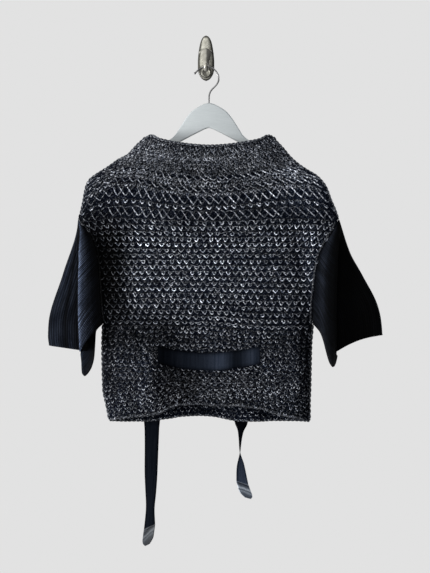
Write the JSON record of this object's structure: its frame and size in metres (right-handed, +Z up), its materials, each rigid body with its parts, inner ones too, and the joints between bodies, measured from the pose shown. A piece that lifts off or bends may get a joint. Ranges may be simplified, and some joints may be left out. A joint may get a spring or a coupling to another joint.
{
  "type": "boxy knit top on a wooden hanger and wall hook",
  "caption": "Boxy funnel-neck knit top of marled yarn with black rib half sleeves and a waist tape, hung on a wooden hanger from a metal wall hook.",
  "frame": {"origin": "centre of the flat back of the wall hook's plate, where it meets the wall", "axes": "+Y out of the back of the plate into the wall, +Z up, +X to the right of someone facing the wall"},
  "size_m": [0.6689, 0.0683, 1.0316],
  "materials": {
    "marled_knit": "chunky marled knit of black, charcoal and pale grey strands, matt and slightly hairy",
    "rib_knit": "black rib knit, matt, ribs along the sleeve",
    "grosgrain": "black grosgrain tape, fine cross ribs, low sheen",
    "leather": "smooth black leather, soft blue-grey sheen, folded over the tape's end",
    "painted_wood": "pale grey-white painted wood, satin, bare of any mark",
    "steel_wire": "3 mm bright steel wire",
    "cast_nickel": "cast metal with a worn warm nickel finish"
  },
  "bodies": {
    "root": {"body_front": "marled_knit", "body_back": "marled_knit", "sleeve_left": "rib_knit", "sleeve_right": "rib_knit", "waist_tape": "grosgrain", "tape_tip_left": "leather", "tape_tip_right": "leather", "hanger_wood": "painted_wood", "hanger_hook": "steel_wire", "wall_plate": "cast_nickel", "wall_hook_arm": "cast_nickel"}
  },
  "joints": []
}
